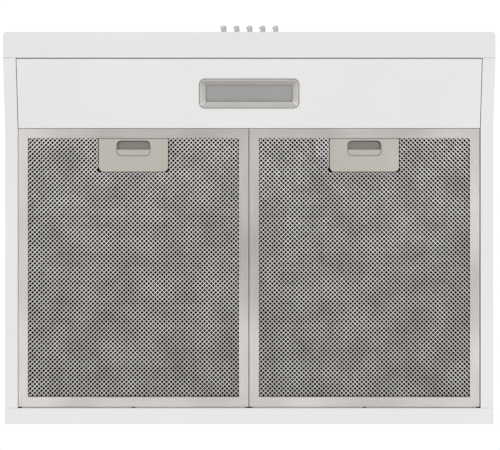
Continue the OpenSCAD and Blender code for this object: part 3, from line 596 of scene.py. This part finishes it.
cap_silver = coated("cap_silver", (0.62, 0.62, 0.62), (0.70, 0.70, 0.70), 0.6, (0.30, 0.40), 0.6, 0.006)
cap_silver.node_tree.nodes["Principled BSDF"].inputs["Specular Tint"].default_value = (0.3, 0.3, 0.3, 1)
for name in ("off", "low", "medium", "high", "light"):
    low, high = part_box("button_" + name)
    stem = (high.y - low.y) / MM
    cap = turned("cap_" + name, [
        (0, stem), (1.8, stem), (2, stem - 0.2), (2, 13.6), (2.1, 13.5), (5.3, 13.5), (5.4, 13.4),
        (5.4, 12.1), (5.3, 12), (4.0, 12), (3.9, 11.9), (3.9, 3.5), (3.8, 3.4), (3.6, 3.3), (3.6, 3.1),
        (3.8, 3.0), (3.88, 2.9), (3.88, 1.9), (3.7, 1.2), (3.3, 0.6), (2.8, 0.22), (2.3, 0.04), (1.9, 0),
        (1.4, 0.1), (0.7, 0.28), (0, 0.34)],
        ((low.x + high.x) / 2, low.y, (low.z + high.z) / 2), cap_silver, slot_of["button_" + name],
        "key_" + name)
    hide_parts("button_" + name)
black_plastic = coated("black_plastic", (0.014, 0.014, 0.014), (0.024, 0.024, 0.024), 0, (0.42, 0.55),
                       0.8, 0.03)
eased("switch_body", 0.5, black_plastic)


# ---------- duct collar and dampers ----------
# The round outlet is moulded in grey ABS and screwed up through the canopy. Two half round flaps hang on a
# steel rod across it: the fan's air lifts them, and they fall shut when it stops.

abs_grey = coated("abs_grey", (0.16, 0.165, 0.17), (0.2, 0.205, 0.21), 0, (0.42, 0.55), 0.8, 0.03)
zinc_steel = coated("zinc_steel", (0.5, 0.5, 0.5), (0.62, 0.62, 0.61), 1.0, (0.2, 0.3), 0.8, 0.01)
for node in ("duct_collar", "damper_flap_front", "damper_flap_rear"):
    eased(node, 0.3, abs_grey)
eased("collar_screws", 0.12, zinc_steel)
eased("damper_rod", 0.3, zinc_steel)


# ---------- blower housing ----------
# Two shells of galvanised sheet meet at a seam held by spring clips. The upper one hangs from the canopy by
# six ears. The lower one has the inlet, with a guard of straight wires welded on wire rings.

def spangled(name, dark, light, rough, size):
    """Zinc crystals: cells about size mm across, each with its own tone and gloss, over a fine grain."""
    finish, tree, shader, place = blank_finish(name, 1.0, rough[0])
    crystals = tree.nodes.new("ShaderNodeTexVoronoi")
    crystals.inputs["Scale"].default_value = 1 / (size * MM)
    tree.links.new(place, crystals.inputs["Vector"])
    split = tree.nodes.new("ShaderNodeSeparateColor")
    tree.links.new(crystals.outputs["Color"], split.inputs["Color"])
    tint(tree, shader, split.outputs["Red"], dark, light)
    gloss = spread(tree, split.outputs["Green"], rough[0], rough[1], (0, 1))
    tree.links.new(gloss, shader.inputs["Roughness"])
    relief(tree, shader, grain(tree, place, 1.2 * MM), 0.008 * MM)
    return finish


def wire(path, gauge, closed):
    """Points and faces of a round wire along a level path, closed on itself or with flat ends.

    At each point of the path the ring of the wire's section stands on two directions: up, and level across
    the path.
    """
    sides = 8
    ahead, behind = np.roll(path, -1, 0), np.roll(path, 1, 0)
    if not closed:
        ahead[-1], behind[0] = path[-1], path[0]
    along = ahead - behind
    across = np.stack([-along[:, 1], along[:, 0], 0 * along[:, 0]], -1)
    across /= np.linalg.norm(across, axis=1)[:, None]
    a = np.arange(sides) * 2 * np.pi / sides
    ring = np.cos(a)[None, :, None] * across[:, None] + np.sin(a)[None, :, None] * np.array([0, 0, 1])
    points = path[:, None] + gauge / 2 * ring
    grid = np.arange(len(path) * sides).reshape(len(path), sides)
    beside, nxt = np.roll(grid, -1, 1), np.roll(grid, -1, 0)
    faces = np.stack([grid, nxt, np.roll(nxt, -1, 1), beside], -1)
    if closed:
        return points.reshape(-1, 3), faces.reshape(-1, 4)
    k = np.arange(sides // 2 - 1)
    cap = np.stack([k, k + 1, sides - 2 - k, sides - 1 - k], -1)
    return points.reshape(-1, 3), np.concatenate([faces[:-1].reshape(-1, 4), cap, grid[-1][cap[:, ::-1]]])


def joined(shapes):
    """One array of points and one of faces from a list of such pairs."""
    starts = np.cumsum([0] + [len(points) for points, _ in shapes])
    return (np.concatenate([points for points, _ in shapes]),
            np.concatenate([faces + start for (_, faces), start in zip(shapes, starts)]))


galvanised = spangled("galvanised", (0.40, 0.41, 0.42), (0.64, 0.65, 0.66), (0.30, 0.48), 9)
eased("scroll_upper", 0.4, galvanised)
eased("scroll_lower", 0.4, galvanised)
eased("scroll_clips", 0.2, spring_steel)
eased("scroll_screws", 0.2, zinc_steel)

guard_low, guard_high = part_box("inlet_guard")
guard_middle = np.array([(guard_low.x + guard_high.x) / 2, (guard_low.y + guard_high.y) / 2, guard_low.z])
guard_gauge = 1.24 * MM
ring_z, bar_z = guard_gauge / 2, 1.49 * guard_gauge
bar_half = (guard_high.x - guard_low.x) / 2 - 1 * MM
turn = np.linspace(0, 2 * np.pi, 96, endpoint=False)
guard_wires = []
for radius in (14, 26, 38, 50, 62):
    circle = radius * MM * np.stack([np.cos(turn), np.sin(turn), 0 * turn], -1)
    guard_wires.append(wire(guard_middle + circle + [0, 0, ring_z], guard_gauge, True))
for degrees in (0, 45, 90, 135):
    a = math.radians(degrees)
    bar = np.linspace(-1, 1, 9)[:, None] * bar_half * np.array([math.cos(a), math.sin(a), 0])
    guard_wires.append(wire(guard_middle + bar + [0, 0, bar_z], guard_gauge, False))
guard = strung(*joined(guard_wires), "guard_wires", zinc_steel, slot_of["inlet_guard"], "hood", True)
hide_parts("inlet_guard")


# ---------- blower wheel ----------
# A squirrel cage moulded in white nylon: curved blades stand between a back plate, whose cup takes the motor,
# and a stiffening ring at the inlet. A nut holds the hub on the shaft.

def hooped(name, section, height, finish):
    """A closed section, rows of radius and rise above height, in mm, carried once round the wheel's axis."""
    steps = 96
    section = np.array(section, float) * MM
    a = np.arange(steps) * 2 * np.pi / steps
    points = np.stack([wheel_x + section[:, :1] * np.cos(a), wheel_y + section[:, :1] * np.sin(a),
                       height + section[:, 1:] + 0 * a], -1)
    grid = np.arange(points.shape[0] * steps).reshape(-1, steps)
    nxt = np.roll(grid, -1, 0)
    faces = np.stack([grid, np.roll(grid, -1, 1), np.roll(nxt, -1, 1), nxt], -1)
    return strung(points.reshape(-1, 3), faces.reshape(-1, 4), name, finish, slot_of["impeller"], "rotor",
                  True)


def blade_row(count, inner, outer, sweep, thick, low, high):
    """Upright blades round the wheel's axis.

    Along a blade the radius grows evenly and the angle with the square of the way along it. Each blade is
    that curve moved half its thickness to both sides, between the two heights.
    """
    s = np.linspace(0, 1, 8)
    radius = inner + (outer - inner) * s
    angle = -sweep * s ** 2
    curve = np.stack([radius * np.cos(angle), radius * np.sin(angle)], -1)
    along = np.gradient(curve, axis=0)
    normal = np.stack([-along[:, 1], along[:, 0]], -1) / np.linalg.norm(along, axis=1)[:, None]
    sides = np.concatenate([curve + normal * thick / 2, (curve - normal * thick / 2)[::-1]])
    a = np.arange(count)[:, None] * 2 * np.pi / count
    x = wheel_x + sides[:, 0] * np.cos(a) - sides[:, 1] * np.sin(a)
    y = wheel_y + sides[:, 0] * np.sin(a) + sides[:, 1] * np.cos(a)
    points = np.stack([np.stack([x, y, 0 * x + z], -1) for z in (low, high)], 1).reshape(-1, 3)
    around = len(sides)
    k = np.arange(around)
    walls = np.stack([k, (k + 1) % around, (k + 1) % around + around, k + around], -1)
    half = np.arange(around // 2 - 1)
    bottom = np.stack([half, around - 1 - half, around - 2 - half, half + 1], -1)
    blade = np.concatenate([walls, bottom, bottom[:, ::-1] + around])
    return points, (blade[None] + 2 * around * np.arange(count)[:, None, None]).reshape(-1, 4)


wheel_nylon = coated("wheel_nylon", (0.55, 0.56, 0.57), (0.62, 0.63, 0.64), 0, (0.4, 0.5), 0.9, 0.02)
wheel_low, wheel_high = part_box("impeller")
wheel_x, wheel_y = (wheel_low.x + wheel_high.x) / 2, (wheel_low.y + wheel_high.y) / 2
wheel_r = (wheel_high.x - wheel_low.x) / 2
blade_count, blade_sweep, blade_thick = 32, math.radians(5), 0.8 * MM
blades = strung(*blade_row(blade_count, wheel_r - 13.6 * MM, wheel_r - 0.5 * MM, blade_sweep, blade_thick,
                           wheel_low.z + 1 * MM, wheel_high.z - 0.8 * MM),
                "wheel_blades", wheel_nylon, slot_of["impeller"], "rotor")
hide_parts("impeller")
rim, cup_r, cup_d, hub_r, bore_r = wheel_r / MM, 46, 44, 9, 3.1
hooped("wheel_ring", [
    (rim - 0.3, 0), (rim, 0.3), (rim, 1.7), (rim - 0.3, 2),
    (rim - 13.7, 2), (rim - 14, 1.7), (rim - 14, 0.3), (rim - 13.7, 0)], wheel_low.z, wheel_nylon)
hooped("wheel_back", [
    (rim - 0.3, 0), (rim, -0.3), (rim, -1.2), (rim - 0.3, -1.5), (cup_r + 3, -1.5), (cup_r + 1.9, -1.9),
    (cup_r + 1.5, -3), (cup_r + 1.5, -cup_d - 0.3), (cup_r + 1, -cup_d - 1.2), (cup_r, -cup_d - 1.5),
    (hub_r + 1, -cup_d - 1.5), (hub_r + 0.2, -cup_d - 2.2), (hub_r, -cup_d - 9.6), (hub_r - 0.4, -cup_d - 10),
    (bore_r, -cup_d - 10), (bore_r, -cup_d), (cup_r - 0.8, -cup_d), (cup_r, -cup_d + 0.8), (cup_r, -0.6),
    (cup_r + 0.6, 0)], wheel_high.z, wheel_nylon)
eased("impeller_nut", 0.3, zinc_steel)


# ---------- motor ----------
# An open induction motor hangs in the wheel's cup: pressed steel end caps round a laminated stator, with
# sintered bronze bearings for the shaft. Three rubber washers keep its hum from the housing.

def winding(name, low, high, finish):
    """A bundle of enamelled wire: a rounded section carried round the axis, ribbed by the strands.

    The section is a superellipse, and a strand's rib is the size of a sine of the turn and the way round it.
    """
    middle_r, half_w, half_h = 31.5 * MM, 5.1 * MM, (high - low) / 2 * 0.93
    strands, rib_h, squareness = 45, 0.05, 0.6
    turn, way = np.meshgrid(np.arange(360) * 2 * np.pi / 360, np.arange(24) * 2 * np.pi / 24, indexing="ij")
    rib = 1 + rib_h * abs(np.sin(strands * turn + 2 * way))
    radius = middle_r + np.sign(np.cos(way)) * abs(np.cos(way)) ** squareness * half_w * rib
    up = np.sign(np.sin(way)) * abs(np.sin(way)) ** squareness * half_h * rib
    points = np.stack([wheel_x + radius * np.cos(turn), wheel_y + radius * np.sin(turn),
                       (low + high) / 2 + up], -1).reshape(-1, 3)
    grid = np.arange(turn.size).reshape(turn.shape)
    nxt = np.roll(grid, -1, 0)
    faces = np.stack([grid, np.roll(grid, -1, 1), np.roll(nxt, -1, 1), nxt], -1)
    return strung(points, faces.reshape(-1, 4), name, finish, slot_of["motor_windings"], "hood", True)


cap_steel = coated("cap_steel", (0.4, 0.41, 0.42), (0.5, 0.51, 0.52), 1.0, (0.3, 0.42), 1.2, 0.01)
lamination = coated("lamination", (0.1, 0.1, 0.105), (0.2, 0.2, 0.205), 0.9, (0.35, 0.5), 0.5, 0.08,
                    (40, 40, 1))
copper = coated("copper", (0.42, 0.16, 0.07), (0.62, 0.27, 0.13), 1.0, (0.25, 0.4), 0.6, 0.01)
bronze = coated("bronze", (0.36, 0.25, 0.10), (0.5, 0.35, 0.16), 1.0, (0.3, 0.4), 0.8, 0.01)
rubber = coated("rubber", (0.012, 0.012, 0.012), (0.02, 0.02, 0.02), 0, (0.6, 0.75), 0.6, 0.03)
for node, width, finish in (("motor_case_upper", 0.8, cap_steel), ("motor_case_lower", 0.8, cap_steel),
                            ("motor_bearings", 0.3, bronze), ("motor_mounts", 0.4, rubber),
                            ("motor_screws", 0.2, zinc_steel), ("motor_shaft", 0.3, zinc_steel)):
    eased(node, width, finish)
paint(lamination, "motor_stator", "motor_rotor")
coil_low, coil_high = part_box("motor_windings")
coil_h = 7.9 * MM
lower_winding = winding("winding_lower", coil_low.z, coil_low.z + coil_h, copper)
winding("winding_upper", coil_high.z - coil_h, coil_high.z, copper)
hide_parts("motor_windings")


# ---------- wiring ----------
# A galvanised box under the canopy holds the terminal block and the motor's capacitor, and the supply cable
# would come in through its rubber grommet. PVC leads run to the motor, the switches and the lamp.

terminal_nylon = coated("terminal_nylon", (0.66, 0.63, 0.52), (0.74, 0.71, 0.6), 0, (0.4, 0.5), 0.8, 0.01)
can_aluminium = coated("can_aluminium", (0.6, 0.6, 0.6), (0.7, 0.7, 0.7), 1.0, (0.25, 0.36), 0.6, 0.004,
                       (1, 30, 1))
for node, width, finish in (("wiring_box", 0.3, galvanised), ("wiring_box_cover", 0.3, galvanised),
                            ("switch_bracket", 0.3, galvanised), ("terminal_block", 0.4, terminal_nylon),
                            ("cable_grommet", 0.5, rubber)):
    eased(node, width, finish)
can_low, can_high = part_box("capacitor")
can_r, can_l = (can_high.x - can_low.x) / 2 / MM, (can_high.y - can_low.y) / MM
can = turned("capacitor_can", [
    (0, 0.8), (can_r - 1.6, 0.8), (can_r - 1.3, 0), (can_r - 0.3, 0), (can_r, 0.4), (can_r, 4),
    (can_r - 0.8, 4.6), (can_r - 0.8, 5.4), (can_r, 6), (can_r, can_l - 1.2), (can_r - 0.4, can_l - 0.3),
    (can_r - 1.2, can_l), (0, can_l)],
    ((can_low.x + can_high.x) / 2, can_low.y, (can_low.z + can_high.z) / 2), can_aluminium,
    slot_of["capacitor"], "hood")
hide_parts("capacitor")
for name, shade, width in (("motor_lead", 0.018, 0.7), ("switch_lead", 0.23, 0.6), ("lamp_lead", 0.66, 0.45)):
    sheath = coated(name + "_pvc", (0.85 * shade,) * 3, (1.1 * shade,) * 3, 0, (0.42, 0.52), 1, 0.01)
    eased(name, width, sheath)


# ---------- studio ----------
# A white room: an even sky, a pale floor far below the hood, and soft boxes low and high that shape the
# metal. The sky looks white to the eye and lights the hood a little less than that.

sky_seen, sky_light = 1.02, 0.75
world = bpy.data.worlds.new("white_room")
bpy.context.scene.world = world
world.use_nodes = True
sky = world.node_tree.nodes["Background"]
sky.inputs["Color"].default_value = (1, 1, 1, 1)
by_eye = world.node_tree.nodes.new("ShaderNodeLightPath").outputs["Is Camera Ray"]
strength = spread(world.node_tree, by_eye, sky_light, sky_seen, (0, 1))
world.node_tree.links.new(strength, sky.inputs["Strength"])

floor_half, floor_z = 40, -3.9
floor_mesh = bpy.data.meshes.new("floor")
floor_corners = [(x * floor_half, y * floor_half, floor_z) for x, y in ((-1, -1), (1, -1), (1, 1), (-1, 1))]
floor_mesh.from_pydata(floor_corners, [], [(0, 1, 2, 3)])
floor = bpy.data.objects.new("floor", floor_mesh)
bpy.context.scene.collection.objects.link(floor)
floor_paint = coated("floor_paint", (0.89, 0.89, 0.88), (0.91, 0.91, 0.90), 0, (0.6, 0.7), 10, 0.1)
floor_mesh.materials.append(floor_paint)


def soft_box(name, place, target, size, power):
    """A square area light at place, turned to face target."""
    lamp = bpy.data.lights.new(name, "AREA")
    lamp.size = size
    lamp.energy = power
    holder = bpy.data.objects.new(name, lamp)
    bpy.context.scene.collection.objects.link(holder)
    holder.location = place
    holder.rotation_euler = (Vector(target) - Vector(place)).to_track_quat("-Z", "Y").to_euler()
    return holder


low_z, filters = -2.25, (0, -0.1, -0.1)
for name, x, y, power in (("low_front", 0, -1.25, 2.3), ("low_back", 0, 1.1, 7.6),
                          ("low_left", -1.25, -0.1, 6.6), ("low_right", 1.25, -0.1, 6.4)):
    soft_box(name, (x, y, low_z), filters, 1, power).visible_camera = False
soft_box("high_key", (-1.5, -1.8, 1.3), (0, 0, 0), 1.2, 24)

eye = bpy.data.cameras.new("eye")
eye.lens = 118.2
eye.sensor_width = 36
camera = bpy.data.objects.new("camera", eye)
camera.location = (0.001, -0.0998, -2.13)
camera.rotation_euler = (math.pi, 0, 0)
bpy.context.scene.collection.objects.link(camera)
bpy.context.scene.camera = camera
bpy.context.scene.view_settings.view_transform = "Standard"
